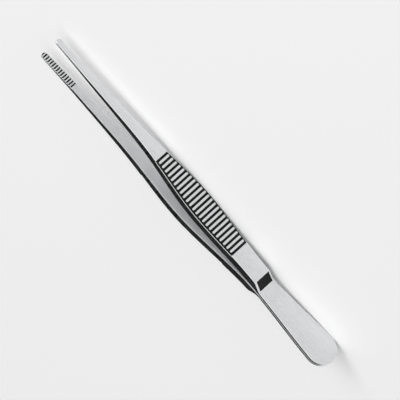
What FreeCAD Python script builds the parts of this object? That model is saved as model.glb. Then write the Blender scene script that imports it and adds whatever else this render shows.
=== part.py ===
import FreeCAD, Part
import math
import os

from FreeCAD import Placement, Rotation, Vector

# Thumb forceps for dressings, 140 mm long, in stainless steel.
# Two arms are forged alike and welded back to back at the butt. Each has a thin flat leaf
# that springs, a ramp up to the full thickness, a finger grip of raised bars with round
# ends, a long tapering shank and a jaw with cross teeth. The teeth of one jaw stand half a
# pitch from those of the other, so that they mesh when the tips are pressed together.
#
# Each arm is drawn first in the instrument's own frame: x = 0 at the butt and +x to the
# tips, y across the arms, z = 0 on the seam between them. The pair is then laid on its side
# on a table, where the edges of the butt and of both grips carry it. Lengths are in
# millimetres.

# Lengths along the instrument, from the butt
LENGTH = 140.0
WELD_LENGTH = 24.0
RAMP_START = 33.2
RAMP_LENGTH = 3.2
WAIST_X = 39.5
BULGE_X = 67.0
OUTER_KNEE_X = 85.0
SHOULDER_X = 88.0
INNER_KNEE_X = 90.0
NECK_X = 106.0

# Widths of the arm, across the instrument
BUTT_WIDTH = 11.9
WAIST_WIDTH = 7.65
BULGE_WIDTH = 10.0
SHOULDER_WIDTH = 6.2
NECK_WIDTH = 3.8
TIP_WIDTH = 2.4

# How fast half of that width changes along the arm
BUTT_SLOPE = -0.045
SHOULDER_SLOPE = -0.115
NECK_SLOPE = -0.028
TIP_SLOPE = -0.008

# Side view: thicknesses, the spread of the arms, and the bends with their radii
LEAF_THICKNESS = 1.1
GRIP_THICKNESS = 3.1
JAW_ROOT_THICKNESS = 1.4
TIP_THICKNESS = 0.8
TIP_GAP = 11.6
ARM_ANGLE = 4.0
JAW_ANGLE = 3.0
JAW_LENGTH = 15.4
SPRING_RADIUS = 315.0
INNER_KNEE_RADIUS = 220.0
OUTER_KNEE_RADIUS = 370.0
JAW_ROOT_RADIUS = 120.0
RAMP_ROOT_RADIUS = 4.0
RAMP_CREST_RADIUS = 1.5

# Chamfers on the arm's long edges
OUTER_EDGE_CHAMFER = 0.4
GRIP_EDGE_CHAMFER = 0.15
INNER_EDGE_CHAMFER = 0.12

# Finger grip: bars that stand in a sunk field, which is open at both sides
BAR_COUNT = 23
BAR_PITCH = 1.7
BAR_WIDTH = 0.85
BAR_HEIGHT = 0.4
BAR_END_MARGIN = 0.65
FIRST_BAR_X = 49.6
BAR_ROOT_DEPTH = 0.3

# Jaw: teeth across the inner face, with flat crests and roots
TOOTH_COUNT = 14
TOOTH_PITCH = 1.03
TOOTH_DEPTH = 0.24
TOOTH_FLAT = 0.16
FIRST_ROOT_FROM_TIP = 0.285

# Room that cutting shapes take beyond the metal
OVERCUT = 2.0

# How finely places on curves are found
BISECTIONS = 40
CONTACT_STEP = 0.25
SURFACE_DEVIATION = 0.01


def rounded_path(corners):
    """Edges in the x-z plane through corners (x, z, radius), with a tangent arc at each inner one."""
    points = [Vector(x, 0, z) for x, z, _ in corners]
    edges = []
    start = points[0]
    for before, corner, after, (_, _, radius) in zip(points, points[1:], points[2:], corners[1:]):
        back = (before - corner).normalize()
        ahead = (after - corner).normalize()
        half_turn = (math.pi - back.getAngle(ahead)) / 2
        reach = radius * math.tan(half_turn)
        arc_start = corner + back * reach
        arc_end = corner + ahead * reach
        to_centre = (back + ahead).normalize()
        arc_middle = corner + to_centre * (radius / math.cos(half_turn) - radius)
        edges.append(Part.LineSegment(start, arc_start).toShape())
        edges.append(Part.Arc(arc_start, arc_middle, arc_end).toShape())
        start = arc_end
    edges.append(Part.LineSegment(start, points[-1]).toShape())
    return edges


def crossing(edges, x):
    """Point and direction of a chain of edges, drawn from butt to tip, at x."""
    edge = next(e for e in edges if e.lastVertex().Point.x >= x)
    low, high = edge.FirstParameter, edge.LastParameter
    for _ in range(BISECTIONS):
        middle = (low + high) / 2
        if edge.valueAt(middle).x < x:
            low = middle
        else:
            high = middle
    return edge.valueAt(low), edge.tangentAt(low)


def block(x_start, x_end, z_start, z_end):
    """A box wider than the instrument."""
    corner = Vector(x_start, -BUTT_WIDTH, z_start)
    return Part.makeBox(x_end - x_start, 2 * BUTT_WIDTH, z_end - z_start, corner)


def extruded_across(edges):
    """The closed outline in the x-z plane, drawn out to more than the instrument's width."""
    face = Part.Face(Part.Wire(Part.__sortEdges__(edges)))
    face.translate(Vector(0, -BUTT_WIDTH, 0))
    return face.extrude(Vector(0, 2 * BUTT_WIDTH, 0))


def spring_corner_x():
    """Where the seam's line and the grip's inner line would meet."""
    return WELD_LENGTH + SPRING_RADIUS * math.tan(math.radians(ARM_ANGLE) / 2)


def grip_inner_z(x):
    return (x - spring_corner_x()) * math.tan(math.radians(ARM_ANGLE))


def grip_outer_z(x):
    return grip_inner_z(x) + GRIP_THICKNESS / math.cos(math.radians(ARM_ANGLE))


def jaw_root():
    """Where the toothed jaw starts on the arm's inner line."""
    return LENGTH - JAW_LENGTH, TIP_GAP / 2 - JAW_LENGTH * math.tan(math.radians(JAW_ANGLE))


def inner_path():
    jaw_x, jaw_z = jaw_root()
    return rounded_path([
        (0, 0, 0),
        (spring_corner_x(), 0, SPRING_RADIUS),
        (INNER_KNEE_X, grip_inner_z(INNER_KNEE_X), INNER_KNEE_RADIUS),
        (jaw_x, jaw_z, JAW_ROOT_RADIUS),
        (LENGTH, TIP_GAP / 2, 0),
    ])


def outer_path():
    ramp_end = RAMP_START + RAMP_LENGTH
    jaw_x, jaw_z = jaw_root()
    return rounded_path([
        (0, LEAF_THICKNESS, 0),
        (RAMP_START, LEAF_THICKNESS, RAMP_ROOT_RADIUS),
        (ramp_end, grip_outer_z(ramp_end), RAMP_CREST_RADIUS),
        (OUTER_KNEE_X, grip_outer_z(OUTER_KNEE_X), OUTER_KNEE_RADIUS),
        (jaw_x, jaw_z + JAW_ROOT_THICKNESS, JAW_ROOT_RADIUS),
        (LENGTH, TIP_GAP / 2 + TIP_THICKNESS, 0),
    ])


def side_slab():
    """The arm's side view, wider than the arm."""
    inner = inner_path()
    outer = outer_path()
    butt_end = Part.LineSegment(inner[0].firstVertex().Point, outer[0].firstVertex().Point)
    tip_end = Part.LineSegment(inner[-1].lastVertex().Point, outer[-1].lastVertex().Point)
    return extruded_across(inner + outer + [butt_end.toShape(), tip_end.toShape()])


def plan_edge():
    """The arm's edge in plan, on the +y side, between the round butt and the round tip."""
    butt_radius = BUTT_WIDTH / 2
    tip_radius = TIP_WIDTH / 2
    butt_turn = math.atan(BUTT_SLOPE)
    tip_turn = math.atan(TIP_SLOPE)
    butt_x = butt_radius - butt_radius * math.sin(butt_turn)
    tip_x = LENGTH - tip_radius - tip_radius * math.sin(tip_turn)
    stations = [
        (butt_x, butt_radius * math.cos(butt_turn), BUTT_SLOPE),
        (WAIST_X, WAIST_WIDTH / 2, 0),
        (BULGE_X, BULGE_WIDTH / 2, 0),
        (SHOULDER_X, SHOULDER_WIDTH / 2, SHOULDER_SLOPE),
        (NECK_X, NECK_WIDTH / 2, NECK_SLOPE),
        (tip_x, tip_radius * math.cos(tip_turn), TIP_SLOPE),
    ]
    curve = Part.BSplineCurve()
    curve.interpolate(
        Points=[Vector(x, y, 0) for x, y, _ in stations],
        Tangents=[Vector(1, slope, 0) for _, _, slope in stations],
        TangentFlags=[True] * len(stations),
    )
    return curve.toShape()


def plan_prism():
    """The arm's plan view, taller than the arm."""
    left = plan_edge()
    right = left.mirror(Vector(0, 0, 0), Vector(0, 1, 0))
    butt_left, tip_left = left.firstVertex().Point, left.lastVertex().Point
    butt_right = Vector(butt_left.x, -butt_left.y, 0)
    tip_right = Vector(tip_left.x, -tip_left.y, 0)
    butt_end = Part.Arc(butt_left, Vector(0, 0, 0), butt_right).toShape()
    tip_end = Part.Arc(tip_left, Vector(LENGTH, 0, 0), tip_right).toShape()
    face = Part.Face(Part.Wire(Part.__sortEdges__([left, tip_end, right, butt_end])))
    face.translate(Vector(0, 0, -OVERCUT))
    return face.extrude(Vector(0, 0, TIP_GAP + TIP_THICKNESS + 2 * OVERCUT))


def runs_along(edge):
    """True for an edge of the arm's outline, false for one across the arm or up its wall."""
    a, b = edge.firstVertex().Point, edge.lastVertex().Point
    middle = edge.valueAt((edge.FirstParameter + edge.LastParameter) / 2)
    return abs(a.x - b.x) > INNER_EDGE_CHAMFER or abs(middle.x - a.x) > INNER_EDGE_CHAMFER


def rims(arm, side):
    """Outline edges of the outer faces (side 1) or of the inner faces (side -1)."""
    edges = []
    for face in arm.Faces:
        u_start, u_end, v_start, v_end = face.ParameterRange
        normal = face.normalAt((u_start + u_end) / 2, (v_start + v_end) / 2)
        if normal.z * side > 0.5:
            edges.extend(edge for edge in face.Edges if runs_along(edge))
    return edges


def with_broken_rims(arm, outer_chamfer):
    arm = arm.makeChamfer(outer_chamfer, rims(arm, 1))
    return arm.makeChamfer(INNER_EDGE_CHAMFER, rims(arm, -1))


def grip_ends():
    """Where the sunk field starts and ends: one groove beyond the outermost bars."""
    reach = BAR_PITCH - BAR_WIDTH / 2
    last_bar_x = FIRST_BAR_X + (BAR_COUNT - 1) * BAR_PITCH
    return FIRST_BAR_X - reach, last_bar_x + reach


def above_grip_floor():
    """Everything that lies higher than the floor between the bars."""
    floor = [edge.translated(Vector(0, 0, -BAR_HEIGHT)) for edge in outer_path()]
    start, end = floor[0].firstVertex().Point, floor[-1].lastVertex().Point
    over_start, over_end = Vector(start.x, 0, TIP_GAP), Vector(end.x, 0, TIP_GAP)
    corners = [start, over_start, over_end, end]
    lid = [Part.LineSegment(a, b).toShape() for a, b in zip(corners, corners[1:])]
    return extruded_across(floor + lid)


def grip_bar(length):
    """A bar with round ends, its crest at z = 0, lying across the arm."""
    radius = BAR_WIDTH / 2
    y = length / 2 - radius
    sides = [
        Part.LineSegment(Vector(-radius, -y, 0), Vector(-radius, y, 0)).toShape(),
        Part.Arc(Vector(-radius, y, 0), Vector(0, y + radius, 0), Vector(radius, y, 0)).toShape(),
        Part.LineSegment(Vector(radius, y, 0), Vector(radius, -y, 0)).toShape(),
        Part.Arc(Vector(radius, -y, 0), Vector(0, -y - radius, 0), Vector(-radius, -y, 0)).toShape(),
    ]
    return Part.Face(Part.Wire(sides)).extrude(Vector(0, 0, -BAR_HEIGHT - BAR_ROOT_DEPTH))


def grip_bars():
    top = outer_path()
    edge = [plan_edge()]
    bars = []
    for index in range(BAR_COUNT):
        x = FIRST_BAR_X + index * BAR_PITCH
        place, along = crossing(top, x)
        half_width = crossing(edge, x)[0].y
        bar = grip_bar(2 * (half_width - BAR_END_MARGIN))
        bar.Placement = Placement(place, Rotation(Vector(1, 0, 0), along))
        bars.append(bar)
    return bars


def tooth_grooves(shift):
    """Cutter for the jaw's teeth; shift moves the pattern towards the butt."""
    half_root = TOOTH_FLAT / 2
    half_mouth = TOOTH_PITCH / 2 - half_root
    points = []
    for index in range(TOOTH_COUNT + 1):
        root = FIRST_ROOT_FROM_TIP + shift + index * TOOTH_PITCH
        points += [
            Vector(-root + half_mouth, 0, 0),
            Vector(-root + half_root, 0, TOOTH_DEPTH),
            Vector(-root - half_root, 0, TOOTH_DEPTH),
            Vector(-root - half_mouth, 0, 0),
        ]
    points += [Vector(points[-1].x, 0, -OVERCUT), Vector(points[0].x, 0, -OVERCUT)]
    sides = [Part.LineSegment(a, b).toShape() for a, b in zip(points, points[1:] + points[:1])]
    comb = extruded_across(sides)
    comb.Placement = Placement(Vector(LENGTH, 0, TIP_GAP / 2), Rotation(Vector(0, 1, 0), -JAW_ANGLE))
    return comb


def arm(tooth_shift):
    """One arm, above the seam."""
    plain = side_slab().common(plan_prism())
    grip_start, grip_end = grip_ends()
    grip = block(grip_start, grip_end, -OVERCUT, TIP_GAP)
    sunk = plain.common(grip).cut(above_grip_floor())
    metal = with_broken_rims(plain, OUTER_EDGE_CHAMFER).cut(grip)
    metal = metal.fuse([with_broken_rims(sunk, GRIP_EDGE_CHAMFER)] + grip_bars())
    return metal.cut(tooth_grooves(tooth_shift))


def lean_angle():
    """Lean of the instrument, in radians, when the sides of its butt and of its grips lie on a table."""
    butt_radius = BUTT_WIDTH / 2
    side = plan_edge().discretize(Distance=CONTACT_STEP)
    low, high = 0, math.pi / 8
    for _ in range(BISECTIONS):
        lean = (low + high) / 2
        butt_depth = butt_radius + butt_radius * math.sin(lean)
        grip_depth = max(p.y * math.cos(lean) + p.x * math.sin(lean) for p in side if p.x > WAIST_X)
        if butt_depth > grip_depth:
            low = lean
        else:
            high = lean
    return lean


def lay_down(arms):
    """Rest the instrument on its side on a table at z = 0, with the middle of its box over the origin."""
    lean = lean_angle()
    on_its_side = Rotation(Vector(1, 0, 0), 90)
    lying = on_its_side.multiply(Rotation(Vector(0, 0, 1), -math.degrees(lean)))
    for shape in arms:
        shape.Placement = Placement(Vector(0, 0, 0), lying)
    points = [point for shape in arms for point in shape.tessellate(SURFACE_DEVIATION)[0]]
    x_middle = (min(p.x for p in points) + max(p.x for p in points)) / 2
    butt_depth = BUTT_WIDTH / 2 * (1 + math.sin(lean))
    for shape in arms:
        shape.translate(Vector(-x_middle, 0, butt_depth))


def main():
    front = arm(tooth_shift=TOOTH_PITCH / 2)
    back = arm(tooth_shift=0).mirror(Vector(0, 0, 0), Vector(0, 0, 1))
    lay_down([front, back])
    os.makedirs("parts", exist_ok=True)
    front.exportStep("parts/front_arm.step")
    back.exportStep("parts/back_arm.step")


if __name__ == "__main__":
    main()
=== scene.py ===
import math

import bmesh
import bpy
import numpy as np
from mathutils import Matrix, Vector


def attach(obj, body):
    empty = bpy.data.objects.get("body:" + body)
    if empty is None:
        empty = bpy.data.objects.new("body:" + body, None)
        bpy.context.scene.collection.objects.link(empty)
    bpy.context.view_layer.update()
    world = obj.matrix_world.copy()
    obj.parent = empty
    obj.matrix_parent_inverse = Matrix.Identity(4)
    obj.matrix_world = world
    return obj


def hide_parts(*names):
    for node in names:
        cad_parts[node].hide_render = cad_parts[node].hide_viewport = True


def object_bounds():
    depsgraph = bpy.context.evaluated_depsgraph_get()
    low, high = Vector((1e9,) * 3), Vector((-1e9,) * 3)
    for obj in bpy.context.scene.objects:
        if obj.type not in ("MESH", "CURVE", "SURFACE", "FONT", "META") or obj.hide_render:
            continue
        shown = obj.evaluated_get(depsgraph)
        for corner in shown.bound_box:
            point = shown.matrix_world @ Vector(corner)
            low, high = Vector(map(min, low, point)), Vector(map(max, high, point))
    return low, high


# Thumb forceps, with each arm as a fine closed mesh in place of its CAD solid. An arm is modelled
# in millimetres in the instrument's own frame: x = 0 at the butt and +x to the tips, y across the
# arms, z = 0 on the seam. It is then carried into the row frame, where the pair lies on its side.

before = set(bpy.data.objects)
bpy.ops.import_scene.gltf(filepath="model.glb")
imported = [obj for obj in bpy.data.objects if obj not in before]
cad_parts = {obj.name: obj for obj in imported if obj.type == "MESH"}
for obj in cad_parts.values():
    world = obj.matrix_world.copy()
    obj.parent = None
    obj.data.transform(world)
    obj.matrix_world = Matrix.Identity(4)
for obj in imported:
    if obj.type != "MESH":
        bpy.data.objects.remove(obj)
cad_low, cad_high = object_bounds()

MM = 0.001

# Lengths along the instrument, from the butt
LENGTH = 140.0
WELD_LENGTH = 24.0
RAMP_START = 33.2
RAMP_LENGTH = 3.2
WAIST_X = 39.5
BULGE_X = 67.0
OUTER_KNEE_X = 85.0
SHOULDER_X = 88.0
INNER_KNEE_X = 90.0
NECK_X = 106.0

# Widths of the arm, and how fast half of the width changes along it
BUTT_WIDTH = 11.9
WAIST_WIDTH = 7.65
BULGE_WIDTH = 10.0
SHOULDER_WIDTH = 6.2
NECK_WIDTH = 3.8
TIP_WIDTH = 2.4
BUTT_SLOPE = -0.045
SHOULDER_SLOPE = -0.115
NECK_SLOPE = -0.028
TIP_SLOPE = -0.008

# Side view: thicknesses, the spread of the arms, and the bends with their radii
LEAF_THICKNESS = 1.1
GRIP_THICKNESS = 3.1
JAW_ROOT_THICKNESS = 1.4
TIP_THICKNESS = 0.8
TIP_GAP = 11.6
ARM_ANGLE = math.radians(4.0)
JAW_ANGLE = math.radians(3.0)
JAW_LENGTH = 15.4
SPRING_RADIUS = 315.0
INNER_KNEE_RADIUS = 220.0
OUTER_KNEE_RADIUS = 370.0
JAW_ROOT_RADIUS = 120.0
RAMP_ROOT_RADIUS = 4.0
RAMP_CREST_RADIUS = 1.5

# Rounding of the long edges, and the slight crown of the outer face
OUTER_EDGE_RADIUS = 0.3
GRIP_EDGE_RADIUS = 0.15
INNER_EDGE_RADIUS = 0.12
FACE_CROWN = 0.03
STEP_EDGE_RADIUS = 0.1
STEP_WALL_LEAN = 0.01

# Finger grip: bars that stand in a sunk field, which is open at both sides
BAR_COUNT = 23
BAR_PITCH = 1.7
BAR_WIDTH = 0.85
BAR_HEIGHT = 0.4
BAR_END_MARGIN = 0.65
BAR_CREST_RADIUS = 0.06
BAR_ROOT_RADIUS = 0.1
FIRST_BAR_X = 49.6

# Jaw: teeth across the inner face, with flat crests and roots
TOOTH_COUNT = 14
TOOTH_PITCH = 1.03
TOOTH_DEPTH = 0.24
TOOTH_FLAT = 0.16
FIRST_ROOT_FROM_TIP = 0.285

# Fineness of the mesh and of the search for the lean; the merge distance is in metres
COARSE_STEP = 1.0
RAMP_STEP = 0.1
END_STATIONS = 22
EDGE_SEGMENTS = 6
INNER_EDGE_SEGMENTS = 3
FILLET_SEGMENTS = 3
CELL_STATIONS = 7
STRAIGHT_POINTS = 7
MARGIN_POINTS = 2
ARC_POINTS = 2 * MARGIN_POINTS + CELL_STATIONS
SIDE_ROWS = 3
INNER_FACE_POINTS = 9
CONTACT_POINTS = 400
BISECTIONS = 40
MERGE_DISTANCE = 1e-6
SHARP_ANGLE = math.radians(32)

# The drawing's view: its scale, the pixel of the butt's end, the angles, and the camera in metres
PICTURE_SIZE = 400
PIXELS_PER_MM = 3.026
BUTT_PIXEL = (332.1, 362.1)
VIEW_DOWN = math.radians(32.2)
VIEW_SLEW = math.radians(0.5)
PICTURE_TURN = math.radians(48.18)
CAMERA_DISTANCE = 3.0
CAMERA_CLIP_END = 30.0
SENSOR_WIDTH = 36.0

# Steel: the stretch of the noise that tones and roughness run over, and the cast of the tones
NOISE_LOW = 0.35
NOISE_HIGH = 0.62
STEEL_CAST = (0.985, 0.995, 1.005)
GRAIN_DETAIL = 4.0
GRAIN_HEIGHT = 0.00002
CLOUD_SCALE = 160.0
CLOUD_DETAIL = 3.0
CLOUD_SHARE = 0.35

# Table
TABLE_REACH = 6.0
TABLE_TONE = 0.94
TABLE_ROUGHNESS = 0.8
TABLE_GLOSS = 0.2

# Studio: (sine of the height above the horizon, share of the sky's level), a black flag and a backdrop
SKY = 1.28
SKY_STOPS = ((0.0, 0.85), (0.1, 0.8), (0.25, 0.42), (0.5, 0.42), (0.75, 1.0))
FLAG_HEIGHT = math.radians(32)
FLAG_CORE = math.radians(34)
FLAG_EDGE = math.radians(48)
BACKDROP = 0.87

# Key lamp: where it stands, in metres, and its power in watts
KEY_DIRECTION = (0.8, -0.45, 0.6)
KEY_DISTANCE = 1.6
KEY_SIZE = 0.8
KEY_POWER = 7.5


def spring_corner_x():
    """Where the seam's line and the grip's inner line would meet."""
    return WELD_LENGTH + SPRING_RADIUS * math.tan(ARM_ANGLE / 2)


def grip_inner_z(x):
    return (x - spring_corner_x()) * math.tan(ARM_ANGLE)


def grip_outer_z(x):
    return grip_inner_z(x) + GRIP_THICKNESS / math.cos(ARM_ANGLE)


def jaw_root():
    """Where the toothed jaw starts on the arm's inner line."""
    return LENGTH - JAW_LENGTH, TIP_GAP / 2 - JAW_LENGTH * math.tan(JAW_ANGLE)


def rounded_line(corners):
    """z as a function of x along a chain of corners (x, z, radius), with a tangent arc at each."""
    # each piece is (last x, x and z of its start or of its centre, slope or side, radius of an arc)
    pieces = []
    x, z = corners[0][:2]
    for before, (cx, cz, radius), after in zip(corners, corners[1:], corners[2:]):
        start = math.atan2(cz - before[1], cx - before[0])
        end = math.atan2(after[1] - cz, after[0] - cx)
        side = math.copysign(1, end - start)
        reach = radius * math.tan(abs(end - start) / 2)
        arc_x, arc_z = cx - reach * math.cos(start), cz - reach * math.sin(start)
        centre_x = arc_x - side * radius * math.sin(start)
        centre_z = arc_z + side * radius * math.cos(start)
        pieces.append((arc_x, x, z, math.tan(start), None))
        x, z = cx + reach * math.cos(end), cz + reach * math.sin(end)
        pieces.append((x, centre_x, centre_z, side, radius))
    last_x, last_z = corners[-1][:2]
    pieces.append((math.inf, x, z, (last_z - z) / (last_x - x), None))

    def height(at):
        at = np.asarray(at, float)
        result = np.zeros_like(at)
        left = np.ones(at.shape, bool)
        for end_x, px, pz, course, radius in pieces:
            here = left & (at <= end_x)
            if radius is None:
                result[here] = pz + course * (at[here] - px)
            else:
                result[here] = pz - course * np.sqrt(radius**2 - (at[here] - px) ** 2)
            left &= ~here
        return result

    return height


def inner_line():
    jaw_x, jaw_z = jaw_root()
    return rounded_line([
        (0, 0, 0),
        (spring_corner_x(), 0, SPRING_RADIUS),
        (INNER_KNEE_X, grip_inner_z(INNER_KNEE_X), INNER_KNEE_RADIUS),
        (jaw_x, jaw_z, JAW_ROOT_RADIUS),
        (LENGTH, TIP_GAP / 2, 0),
    ])


def outer_line():
    ramp_end = RAMP_START + RAMP_LENGTH
    jaw_x, jaw_z = jaw_root()
    return rounded_line([
        (0, LEAF_THICKNESS, 0),
        (RAMP_START, LEAF_THICKNESS, RAMP_ROOT_RADIUS),
        (ramp_end, grip_outer_z(ramp_end), RAMP_CREST_RADIUS),
        (OUTER_KNEE_X, grip_outer_z(OUTER_KNEE_X), OUTER_KNEE_RADIUS),
        (jaw_x, jaw_z + JAW_ROOT_THICKNESS, JAW_ROOT_RADIUS),
        (LENGTH, TIP_GAP / 2 + TIP_THICKNESS, 0),
    ])


def plan_stations():
    """Places (x, half width, slope) that shape the arm's edge in plan, between its round ends."""
    butt_radius, tip_radius = BUTT_WIDTH / 2, TIP_WIDTH / 2
    butt_turn, tip_turn = math.atan(BUTT_SLOPE), math.atan(TIP_SLOPE)
    butt_x = butt_radius - butt_radius * math.sin(butt_turn)
    tip_x = LENGTH - tip_radius - tip_radius * math.sin(tip_turn)
    return [
        (butt_x, butt_radius * math.cos(butt_turn), BUTT_SLOPE),
        (WAIST_X, WAIST_WIDTH / 2, 0),
        (BULGE_X, BULGE_WIDTH / 2, 0),
        (SHOULDER_X, SHOULDER_WIDTH / 2, SHOULDER_SLOPE),
        (NECK_X, NECK_WIDTH / 2, NECK_SLOPE),
        (tip_x, tip_radius * math.cos(tip_turn), TIP_SLOPE),
    ]


def half_width(at):
    """Half of the arm's width at x, a cubic through the plan's stations."""
    at = np.asarray(at, float)
    stations = plan_stations()
    result = np.full(at.shape, stations[0][1])
    for (x0, y0, s0), (x1, y1, s1) in zip(stations, stations[1:]):
        run = x1 - x0
        t = np.clip((at - x0) / run, 0, 1)
        y = (2 * t**3 - 3 * t**2 + 1) * y0 + (t**3 - 2 * t**2 + t) * run * s0
        y += (3 * t**2 - 2 * t**3) * y1 + (t**3 - t**2) * run * s1
        result = np.where(at > x0, y, result)
    return result


inner_z = inner_line()
outer_z = outer_line()


def field_ends():
    """Where the sunk field starts and ends: one groove beyond the outermost bars."""
    reach = BAR_PITCH - BAR_WIDTH / 2
    last_bar_x = FIRST_BAR_X + (BAR_COUNT - 1) * BAR_PITCH
    return FIRST_BAR_X - reach, last_bar_x + reach


def field_step():
    """(distance into the field, depth, edge radius) where the outer face drops to the field's floor."""
    stops = []
    for index in range(FILLET_SEGMENTS + 1):
        angle = math.pi / 2 * index / FILLET_SEGMENTS
        back = STEP_EDGE_RADIUS * (1 - math.sin(angle))
        down = STEP_EDGE_RADIUS * (1 - math.cos(angle))
        stops.append((-back, down, OUTER_EDGE_RADIUS))
    for index in range(FILLET_SEGMENTS + 1):
        angle = math.pi / 2 * index / FILLET_SEGMENTS
        ahead = BAR_ROOT_RADIUS * (1 - math.cos(angle)) + STEP_WALL_LEAN
        up = BAR_ROOT_RADIUS * (1 - math.sin(angle))
        stops.append((ahead, BAR_HEIGHT - up, GRIP_EDGE_RADIUS))
    return stops


class Station:
    """One cross-section: a point of the plan outline, its inward normal, and the outer face's state."""

    def __init__(self, x, y, nx=0.0, ny=-1.0, depth=0.0, edge_radius=OUTER_EDGE_RADIUS, faced=True):
        self.x, self.y, self.nx, self.ny = x, y, nx, ny
        self.depth, self.edge_radius, self.faced = depth, edge_radius, faced

    def moved_in(self, inset):
        """x and y of the outline's point, moved in along its normal."""
        return self.x + self.nx * inset, max(self.y + self.ny * inset, 0.0)


def floor_station(x, y=None, faced=True):
    """A station on the floor of the sunk field."""
    return Station(x, y, depth=BAR_HEIGHT, edge_radius=GRIP_EDGE_RADIUS, faced=faced)


def tooth_profile(shift):
    """Depth of the tooth grooves as a function of x, and the places of their corners."""
    half_root = TOOTH_FLAT / 2
    half_mouth = TOOTH_PITCH / 2 - half_root
    half_way = (half_root + half_mouth) / 2
    roots = [FIRST_ROOT_FROM_TIP + shift + index * TOOTH_PITCH for index in range(TOOTH_COUNT + 1)]
    along = math.cos(JAW_ANGLE)
    corners = [
        LENGTH - (root + offset) * along
        for root in roots
        for offset in (-half_mouth, -half_way, -half_root, half_root, half_way, half_mouth)
    ]

    def depth(at):
        from_tip = (LENGTH - np.asarray(at, float)) / along
        nearest = np.min([np.abs(from_tip - root) for root in roots], axis=0)
        share = np.clip((half_mouth - nearest) / (half_mouth - half_root), 0, 1)
        return share * TOOTH_DEPTH / along

    return depth, [x for x in corners if x < LENGTH]


def end_stations(centre_x, radius, start, end):
    """Stations round a circular end of the plan, from angle start to end."""
    stations = []
    for angle in np.linspace(start, end, END_STATIONS):
        c, s = math.cos(angle), math.sin(angle)
        stations.append(Station(centre_x + radius * c, radius * s, -c, -s))
    return stations


def middle_stations(tooth_corners):
    """Stations between the round ends, in the order of x."""
    first_x, last_x = plan_stations()[0][0], plan_stations()[-1][0]
    start, end = field_ends()
    xs = list(np.arange(first_x + COARSE_STEP, last_x, COARSE_STEP))
    ramp_end = RAMP_START + RAMP_LENGTH
    xs += list(np.arange(RAMP_START - 2 * COARSE_STEP, ramp_end + COARSE_STEP, RAMP_STEP))
    clear = STEP_EDGE_RADIUS + RAMP_STEP
    jaw_start = min(tooth_corners)
    xs = [x for x in xs if x < jaw_start and not start - clear < x < end + clear]
    xs += [x for x in tooth_corners if x < last_x]
    stations = [Station(x, None) for x in xs]
    for reach, depth, radius in field_step():
        stations.append(Station(start + reach, None, depth=depth, edge_radius=radius))
        stations.append(Station(end - reach, None, depth=depth, edge_radius=radius))
    for index in range(BAR_COUNT):
        low = FIRST_BAR_X + (index - 0.5) * BAR_PITCH
        for share in range(CELL_STATIONS + 1):
            x = low + BAR_PITCH * share / (CELL_STATIONS + 1)
            stations.append(floor_station(x, faced=share == 0))
    stations.append(floor_station(FIRST_BAR_X + (BAR_COUNT - 0.5) * BAR_PITCH))
    stations.sort(key=lambda station: station.x)
    for station in stations:
        station.y = float(half_width(station.x))
    return stations


def all_stations(tooth_corners):
    butt_radius, tip_radius = BUTT_WIDTH / 2, TIP_WIDTH / 2
    butt = end_stations(butt_radius, butt_radius, math.pi, math.pi / 2 + math.atan(BUTT_SLOPE))
    tip = end_stations(LENGTH - tip_radius, tip_radius, math.pi / 2 + math.atan(TIP_SLOPE), 0)
    return butt + middle_stations(tooth_corners) + tip


def crown(x, y):
    """How far the outer face falls away from its middle line."""
    width = np.maximum(half_width(x), TIP_WIDTH / 2)
    return FACE_CROWN * (np.asarray(y) / width) ** 2


def surface(x, y, lift):
    """A point lift above the arm's outer line."""
    x, y, lift = np.broadcast_arrays(np.asarray(x, float), y, lift)
    return np.stack([x, y, outer_z(x) - crown(x, y) + lift], axis=-1)


def bar_reach(x):
    """y of the centre of a bar's round end."""
    return half_width(x) - BAR_END_MARGIN - BAR_WIDTH / 2


def face_shares(x):
    """Where the points of a row across the outer face stand, as shares of its half width."""
    half = float(half_width(x)) - GRIP_EDGE_RADIUS
    reach = float(bar_reach(x)) / half
    straight = np.linspace(-reach, reach, STRAIGHT_POINTS)
    margin = reach + (1 - reach) * np.arange(1, MARGIN_POINTS + 1) / MARGIN_POINTS
    return np.concatenate([-margin[::-1], straight, margin])


def face_row(station):
    """Points across the outer face, from -y to +y."""
    x, half = station.moved_in(station.edge_radius)
    low, high = plan_stations()[0][0], plan_stations()[-1][0]
    shares = face_shares(min(max(station.x, low), high))
    return surface(x, shares * half, -station.depth)


def side_row(station, tooth_depth):
    """Points from the outer face's +y edge round the side and the inner face to its -y edge."""
    points = []
    radius = station.edge_radius
    edge_x, edge_y = station.moved_in(radius)
    top = float(outer_z(edge_x) - crown(edge_x, edge_y)) - station.depth
    for index in range(EDGE_SEGMENTS + 1):
        angle = math.pi / 2 * (1 - index / EDGE_SEGMENTS)
        x, y = station.moved_in(radius * (1 - math.cos(angle)))
        points.append((x, y, top - radius + radius * math.sin(angle)))
    floor = float(inner_z(station.x) + tooth_depth(station.x))
    wall_top, wall_bottom = points[-1][2], floor + INNER_EDGE_RADIUS
    for share in np.linspace(0, 1, SIDE_ROWS + 2)[1:-1]:
        points.append((station.x, station.y, wall_top + (wall_bottom - wall_top) * share))
    for index in range(INNER_EDGE_SEGMENTS + 1):
        angle = math.pi / 2 * index / INNER_EDGE_SEGMENTS
        x, y = station.moved_in(INNER_EDGE_RADIUS * (1 - math.cos(angle)))
        base = float(inner_z(x) + tooth_depth(x))
        points.append((x, y, base + INNER_EDGE_RADIUS * (1 - math.sin(angle))))
    x, y, z = points[-1]
    half_row = [(x, y * share, z) for share in np.linspace(1, 0, INNER_FACE_POINTS // 2 + 1)[1:]]
    mirrored = [(px, -py, pz) for px, py, pz in reversed(points + half_row[:-1])]
    return np.array(points + half_row + mirrored)


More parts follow.
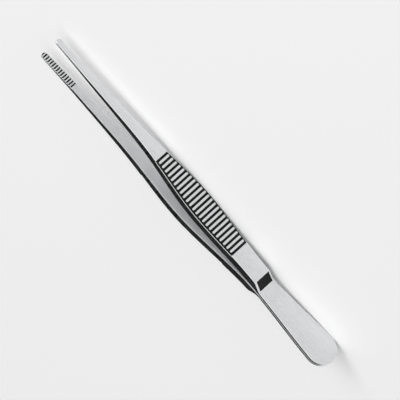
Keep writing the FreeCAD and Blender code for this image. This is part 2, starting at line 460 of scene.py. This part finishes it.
class Skin:
    """Collects patches of points; equal points are merged when the mesh is made."""

    def __init__(self):
        self.points, self.faces, self.marks = [], [], []

    def add(self, points, faces, marks):
        base = len(self.points)
        self.points.extend(map(tuple, points))
        self.faces.extend(tuple(base + i for i in face) for face in faces)
        self.marks.extend(marks)

    def grid(self, rows, marks):
        """Quads between rows of as many points, with one mark for all or one for each quad."""
        count = len(rows[0])
        faces = [
            (r * count + c, (r + 1) * count + c, (r + 1) * count + c + 1, r * count + c + 1)
            for r in range(len(rows) - 1)
            for c in range(count - 1)
        ]
        marks = np.broadcast_to(marks, (len(rows) - 1, count - 1))
        self.add(np.concatenate(rows), faces, marks.ravel().tolist())


# A quad's mark, which is also the place of its finish in the list of finishes; the second mark is
# near-black painted shade on the grip's grooves, the roots of the teeth and the ramp's slope
METAL, PAINTED_SHADE, INSIDE, EDGE = range(4)


def stadium(x_mid, reach, radius):
    """A bar's outline from its -y corner up the low-x side, round +y, and down the high-x side."""
    ys = np.linspace(-reach, reach, STRAIGHT_POINTS)
    angles = math.pi * np.arange(1, ARC_POINTS + 1) / (ARC_POINTS + 1)
    left = np.stack([np.full(STRAIGHT_POINTS, x_mid - radius), ys], axis=-1)
    top = np.stack([x_mid - radius * np.cos(angles), reach + radius * np.sin(angles)], axis=-1)
    right = left[::-1] + [2 * radius, 0]
    bottom = np.stack([x_mid + radius * np.cos(angles), -reach - radius * np.sin(angles)], axis=-1)
    return np.concatenate([left, top, right, bottom])


def bar_levels():
    """(outward offset, height above the floor) of the loops from a bar's root to its crest."""
    levels = []
    for index in range(FILLET_SEGMENTS + 1):
        angle = math.pi / 2 * index / FILLET_SEGMENTS
        outset = BAR_ROOT_RADIUS * (1 - math.sin(angle))
        levels.append((outset, BAR_ROOT_RADIUS * (1 - math.cos(angle))))
    for index in range(FILLET_SEGMENTS + 1):
        angle = math.pi / 2 * index / FILLET_SEGMENTS
        inset = BAR_CREST_RADIUS * (1 - math.cos(angle))
        levels.append((-inset, BAR_HEIGHT - BAR_CREST_RADIUS * (1 - math.sin(angle))))
    return levels


def add_bar_cell(skin, index):
    """The floor round one bar, and the bar: loops from the cell's border in to the bar's crest."""
    x_mid = FIRST_BAR_X + index * BAR_PITCH
    x_low, x_high = x_mid - BAR_PITCH / 2, x_mid + BAR_PITCH / 2
    low = face_row(floor_station(x_low, float(half_width(x_low))))
    high = face_row(floor_station(x_high, float(half_width(x_high))))
    shares = np.arange(1, CELL_STATIONS + 1) / (CELL_STATIONS + 1)
    side_x = x_low + BAR_PITCH * shares
    top = surface(side_x, half_width(side_x) - GRIP_EDGE_RADIUS, -BAR_HEIGHT)
    bottom = surface(side_x, GRIP_EDGE_RADIUS - half_width(side_x), -BAR_HEIGHT)
    border = np.concatenate([low, top, high[::-1], bottom[::-1]])
    # the border starts at its corner, the bar's outline where its straight side starts
    border = np.roll(border, -MARGIN_POINTS, axis=0)
    reach = float(bar_reach(x_mid))
    loops = [border]
    for offset, height in bar_levels():
        outline = stadium(x_mid, reach, BAR_WIDTH / 2 + offset)
        loops.append(surface(outline[:, 0], outline[:, 1], height - BAR_HEIGHT))
    closed = [np.concatenate([loop, loop[:1]])[::-1] for loop in loops]
    # the floor, the fillet and the wall above it lie before the foot of the crest's rounding, and are
    # painted near-black as shade
    wall_top = FILLET_SEGMENTS + 2
    skin.grid(closed[:wall_top + 1], PAINTED_SHADE)
    skin.grid(closed[wall_top:], METAL)
    add_bar_crest(skin, loops[-1])


def add_bar_crest(skin, loop):
    """Fills a bar's top with strips across it, from one round end to the other."""
    half_arc = ARC_POINTS // 2
    count = STRAIGHT_POINTS + 2 * half_arc
    total = len(loop)
    # the middle points of the two round ends lie between the two sides
    top_apex = STRAIGHT_POINTS + half_arc
    bottom_apex = total - half_arc - 1
    low_side = [(bottom_apex + 1 + i) % total for i in range(count)]
    high_side = [bottom_apex - 1 - i for i in range(count)]
    faces = [
        (low_side[i], high_side[i], high_side[i + 1], low_side[i + 1]) for i in range(count - 1)
    ]
    faces.append((bottom_apex, high_side[0], low_side[0]))
    faces.append((top_apex, low_side[-1], high_side[-1]))
    skin.add(loop, faces, [METAL] * len(faces))


def side_marks(stations, tooth_depth, columns):
    """Marks the rounded edges, which get burnished wear and a painted highlight, the inner face, and the
    lower half of the grooves in it, which is painted near-black as shade.
    """
    marks = np.full((len(stations) - 1, columns), METAL)
    wall_end = EDGE_SEGMENTS + SIDE_ROWS + 1
    inner_first = wall_end + INNER_EDGE_SEGMENTS
    marks[:, :EDGE_SEGMENTS] = EDGE
    marks[:, columns - EDGE_SEGMENTS:] = EDGE
    marks[:, wall_end:columns - wall_end] = EDGE
    marks[:, inner_first:columns - inner_first] = INSIDE
    for index, (here, after) in enumerate(zip(stations, stations[1:])):
        if tooth_depth((here.x + after.x) / 2) > TOOTH_DEPTH / 2:
            marks[index, inner_first:columns - inner_first] = PAINTED_SHADE
    return marks


def ramp_marks(stations, columns):
    """Marks the quads of the ramp's slope, but for a strip along each side, to be painted near-black as
    shade.
    """
    marks = np.full((len(stations) - 1, columns), METAL)
    for index, (here, after) in enumerate(zip(stations, stations[1:])):
        if RAMP_START < (here.x + after.x) / 2 < RAMP_START + RAMP_LENGTH:
            marks[index, 1:-1] = PAINTED_SHADE
    return marks


def arm_skin(tooth_shift):
    """The patches of one arm, above the seam."""
    tooth_depth, tooth_corners = tooth_profile(tooth_shift)
    stations = all_stations(tooth_corners)
    skin = Skin()
    sides = [side_row(station, tooth_depth) for station in stations]
    skin.grid(sides, side_marks(stations, tooth_depth, len(sides[0]) - 1))
    first_cell = FIRST_BAR_X - BAR_PITCH / 2
    last_cell = FIRST_BAR_X + (BAR_COUNT - 0.5) * BAR_PITCH
    start, end = field_ends()
    near = MERGE_DISTANCE / MM
    # the sunk field's floor beyond the outermost bars is painted near-black as shade
    stretches = (
        (-math.inf, start + near, METAL),
        (start - near, first_cell + near, PAINTED_SHADE),
        (last_cell - near, end + near, PAINTED_SHADE),
        (end - near, math.inf, METAL),
    )
    faced = [station for station in stations if station.faced]
    for low, high, mark in stretches:
        stretch = [station for station in faced if low <= station.x <= high]
        rows = [face_row(station) for station in stretch]
        skin.grid(rows, mark if mark == PAINTED_SHADE else ramp_marks(stretch, len(rows[0]) - 1))
    for index in range(BAR_COUNT):
        add_bar_cell(skin, index)
    return skin


def lean_angle():
    """Lean of the instrument when the sides of its butt and of its grips lie on the table."""
    butt_radius = BUTT_WIDTH / 2
    xs = np.linspace(WAIST_X, SHOULDER_X, CONTACT_POINTS)
    low, high = 0.0, math.pi / 8
    for _ in range(BISECTIONS):
        lean = (low + high) / 2
        grip_depth = np.max(half_width(xs) * math.cos(lean) + xs * math.sin(lean))
        if butt_radius * (1 + math.sin(lean)) > grip_depth:
            low = lean
        else:
            high = lean
    return lean


def row_placement():
    """The matrix from the instrument's frame, in millimetres, to the row frame, in metres."""
    lean = lean_angle()
    butt_radius = BUTT_WIDTH / 2
    turned = Matrix.Rotation(math.pi / 2, 4, "X") @ Matrix.Rotation(-lean, 4, "Z")
    butt_end = butt_radius * math.cos(lean) - butt_radius
    shift = Vector((cad_low[0] / MM - butt_end, 0, butt_radius * (1 + math.sin(lean))))
    return Matrix.Scale(MM, 4) @ Matrix.Translation(shift) @ turned


def make_arm(name, node, tooth_shift, mirrored, materials):
    """One arm as a closed mesh that stands for its node."""
    skin = arm_skin(tooth_shift)
    mesh = bpy.data.meshes.new(name)
    bm = bmesh.new()
    flip = Matrix.Scale(-1, 4, (0, 0, 1)) if mirrored else Matrix.Identity(4)
    place = row_placement() @ flip
    verts = [bm.verts.new(place @ Vector(point)) for point in skin.points]
    for face, mark in zip(skin.faces, skin.marks):
        made = bm.faces.new([verts[i] for i in face])
        made.material_index = mark
        made.smooth = True
    bmesh.ops.remove_doubles(bm, verts=bm.verts, dist=MERGE_DISTANCE)
    bmesh.ops.dissolve_degenerate(bm, edges=bm.edges, dist=MERGE_DISTANCE)
    bmesh.ops.recalc_face_normals(bm, faces=bm.faces)
    for edge in bm.edges:
        edge.smooth = len(edge.link_faces) == 2 and edge.calc_face_angle(0) < SHARP_ANGLE
    bm.to_mesh(mesh)
    bm.free()
    for material in materials:
        mesh.materials.append(material)
    piece = bpy.data.objects.new(name, mesh)
    bpy.context.scene.collection.objects.link(piece)
    weighted = piece.modifiers.new("weighted_normals", "WEIGHTED_NORMAL")
    weighted.keep_sharp = True
    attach(piece, "root")
    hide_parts(node)


def steel(name, tones, roughness, grain, relief):
    """Stainless steel with (low, high) tones and roughness, a grain of scale (x, y, z), and its relief."""
    material = bpy.data.materials.new(name)
    material.use_nodes = True
    nodes, links = material.node_tree.nodes, material.node_tree.links
    shader = nodes["Principled BSDF"]
    shader.inputs["Metallic"].default_value = 1.0
    place = nodes.new("ShaderNodeTexCoord")
    stretch = nodes.new("ShaderNodeMapping")
    stretch.inputs["Scale"].default_value = grain
    links.new(place.outputs["Object"], stretch.inputs["Vector"])
    fine = nodes.new("ShaderNodeTexNoise")
    fine.inputs["Scale"].default_value = 1.0
    fine.inputs["Detail"].default_value = GRAIN_DETAIL
    links.new(stretch.outputs["Vector"], fine.inputs["Vector"])
    cloud = nodes.new("ShaderNodeTexNoise")
    cloud.inputs["Scale"].default_value = CLOUD_SCALE
    cloud.inputs["Detail"].default_value = CLOUD_DETAIL
    links.new(place.outputs["Object"], cloud.inputs["Vector"])
    both = nodes.new("ShaderNodeMix")
    both.inputs["Factor"].default_value = CLOUD_SHARE
    links.new(fine.outputs["Fac"], both.inputs["A"])
    links.new(cloud.outputs["Fac"], both.inputs["B"])
    ramp = nodes.new("ShaderNodeValToRGB")
    for stop, position, tone in zip(ramp.color_ramp.elements, (NOISE_LOW, NOISE_HIGH), tones):
        stop.position = position
        stop.color = (*(tone * share for share in STEEL_CAST), 1)
    links.new(both.outputs["Result"], ramp.inputs["Fac"])
    links.new(ramp.outputs["Color"], shader.inputs["Base Color"])
    rough = nodes.new("ShaderNodeMapRange")
    rough.inputs["From Min"].default_value = NOISE_LOW
    rough.inputs["From Max"].default_value = NOISE_HIGH
    rough.inputs["To Min"].default_value = roughness[0]
    rough.inputs["To Max"].default_value = roughness[1]
    links.new(both.outputs["Result"], rough.inputs["Value"])
    links.new(rough.outputs["Result"], shader.inputs["Roughness"])
    bump = nodes.new("ShaderNodeBump")
    bump.inputs["Strength"].default_value = relief
    bump.inputs["Distance"].default_value = GRAIN_HEIGHT
    links.new(fine.outputs["Fac"], bump.inputs["Height"])
    links.new(bump.outputs["Normal"], shader.inputs["Normal"])
    return material


def make_camera():
    """A long lens that sees the forceps as the drawing does."""
    aside = math.sin(VIEW_SLEW)
    to_butt = Vector((-math.cos(VIEW_SLEW), aside * math.sin(VIEW_DOWN), aside * math.cos(VIEW_DOWN)))
    to_right = Vector((0, -math.cos(VIEW_DOWN), math.sin(VIEW_DOWN)))
    c, s = math.cos(PICTURE_TURN), math.sin(PICTURE_TURN)
    right = (to_butt * c + to_right * s).normalized()
    drop = (to_butt * s - to_right * c).normalized()
    to_camera = right.cross(-drop)
    middle = PICTURE_SIZE / 2
    target = right * ((middle - BUTT_PIXEL[0]) / PIXELS_PER_MM)
    target += drop * ((middle - BUTT_PIXEL[1]) / PIXELS_PER_MM)
    place = row_placement()
    turn = place.to_3x3().normalized()
    right, drop, to_camera = (turn @ v for v in (right, drop, to_camera))
    at = place @ target + to_camera * CAMERA_DISTANCE
    data = bpy.data.cameras.new("camera")
    seen_width = PICTURE_SIZE / PIXELS_PER_MM * MM
    data.sensor_width = SENSOR_WIDTH
    data.lens = SENSOR_WIDTH * CAMERA_DISTANCE / seen_width
    data.clip_end = CAMERA_CLIP_END
    camera = bpy.data.objects.new("camera", data)
    bpy.context.scene.collection.objects.link(camera)
    pose = Matrix((right, -drop, to_camera)).transposed().to_4x4()
    pose.translation = at
    camera.matrix_world = pose
    bpy.context.scene.camera = camera


def make_floor():
    """A pale matt table."""
    mesh = bpy.data.meshes.new("table")
    signs = ((-1, -1), (1, -1), (1, 1), (-1, 1))
    corners = [(x * TABLE_REACH, y * TABLE_REACH, 0) for x, y in signs]
    mesh.from_pydata(corners, [], [(0, 1, 2, 3)])
    material = bpy.data.materials.new("pale_table")
    material.use_nodes = True
    shader = material.node_tree.nodes["Principled BSDF"]
    shader.inputs["Base Color"].default_value = (TABLE_TONE, TABLE_TONE, TABLE_TONE, 1)
    shader.inputs["Roughness"].default_value = TABLE_ROUGHNESS
    shader.inputs["Specular IOR Level"].default_value = TABLE_GLOSS
    mesh.materials.append(material)
    floor = bpy.data.objects.new("table", mesh)
    bpy.context.scene.collection.objects.link(floor)


def sky_colour(nodes, links, direction):
    """The sky's level by height: a pale horizon, a dim ring and a bright top."""
    split = nodes.new("ShaderNodeSeparateXYZ")
    links.new(direction, split.inputs["Vector"])
    sky = nodes.new("ShaderNodeValToRGB")
    stops = sky.color_ramp.elements
    for height, _ in SKY_STOPS[1:-1]:
        stops.new(height)
    for stop, (height, share) in zip(stops, SKY_STOPS):
        stop.position = height
        stop.color = (share, share, share, 1)
    links.new(split.outputs["Z"], sky.inputs["Fac"])
    return sky.outputs["Color"]


def flag_cover(nodes, links, direction):
    """How far the black flag at the back covers a direction, from 0 to 1."""
    facing = nodes.new("ShaderNodeVectorMath")
    facing.operation = "DOT_PRODUCT"
    facing.inputs[1].default_value = (0, math.cos(FLAG_HEIGHT), math.sin(FLAG_HEIGHT))
    links.new(direction, facing.inputs[0])
    cover = nodes.new("ShaderNodeMapRange")
    cover.interpolation_type = "SMOOTHSTEP"
    cover.inputs["From Min"].default_value = math.cos(FLAG_EDGE)
    cover.inputs["From Max"].default_value = math.cos(FLAG_CORE)
    links.new(facing.outputs["Value"], cover.inputs["Value"])
    return cover.outputs["Result"]


def make_world():
    """A soft studio sky with a black flag at the back, and a pale backdrop that only the camera sees."""
    world = bpy.data.worlds.new("studio")
    world.use_nodes = True
    nodes, links = world.node_tree.nodes, world.node_tree.links
    direction = nodes.new("ShaderNodeTexCoord").outputs["Generated"]
    flagged = nodes.new("ShaderNodeMix")
    flagged.data_type = "RGBA"
    flagged.inputs["B"].default_value = (0, 0, 0, 1)
    links.new(flag_cover(nodes, links, direction), flagged.inputs["Factor"])
    links.new(sky_colour(nodes, links, direction), flagged.inputs["A"])
    background = nodes["Background"]
    background.inputs["Strength"].default_value = SKY
    links.new(flagged.outputs["Result"], background.inputs["Color"])
    backdrop = nodes.new("ShaderNodeBackground")
    backdrop.inputs["Color"].default_value = (BACKDROP, BACKDROP, BACKDROP, 1)
    ray = nodes.new("ShaderNodeLightPath")
    seen = nodes.new("ShaderNodeMixShader")
    links.new(ray.outputs["Is Camera Ray"], seen.inputs["Fac"])
    links.new(background.outputs["Background"], seen.inputs[1])
    links.new(backdrop.outputs["Background"], seen.inputs[2])
    links.new(seen.outputs["Shader"], nodes["World Output"].inputs["Surface"])
    bpy.context.scene.world = world


def make_lamp(name, direction, distance, size, power):
    """A square lamp that faces the origin."""
    data = bpy.data.lights.new(name, "AREA")
    data.size = size
    data.energy = power
    lamp = bpy.data.objects.new(name, data)
    bpy.context.scene.collection.objects.link(lamp)
    place = Vector(direction).normalized() * distance
    lamp.location = place
    lamp.rotation_euler = place.to_track_quat("Z", "Y").to_euler()


make_camera()
# In the order of the marks: the satin faces and sides, a near-black painted shade for the grip's grooves,
# the tooth roots and the ramp's slope, the blasted inner faces, and the edges that handling and wiping
# have burnished, painted a lighter tone as a highlight
finishes = [
    steel("satin_steel_finish", (0.69, 0.76), (0.24, 0.31), (80, 8000, 8000), 0.12),
    # near-black painted shade for the grip's grooves, the tooth roots and the ramp's slope
    steel("painted_shade_steel_finish", (0.01, 0.035), (0.5, 0.62), (9000, 9000, 9000), 0.3),
    steel("inside_steel_finish", (0.72, 0.8), (0.7, 0.8), (7000, 7000, 7000), 0.2),
    # burnished edges: the lower roughness is real wear, the lighter tone is a painted highlight
    steel("edge_steel_finish", (0.78, 0.82), (0.16, 0.2), (120, 6000, 6000), 0.05),
]
make_arm("front_arm_steel", "front_arm", TOOTH_PITCH / 2, False, finishes)
make_arm("back_arm_steel", "back_arm", 0.0, True, finishes)
make_floor()
make_world()
make_lamp("key", KEY_DIRECTION, KEY_DISTANCE, KEY_SIZE, KEY_POWER)

bpy.context.scene.view_settings.view_transform = "Standard"
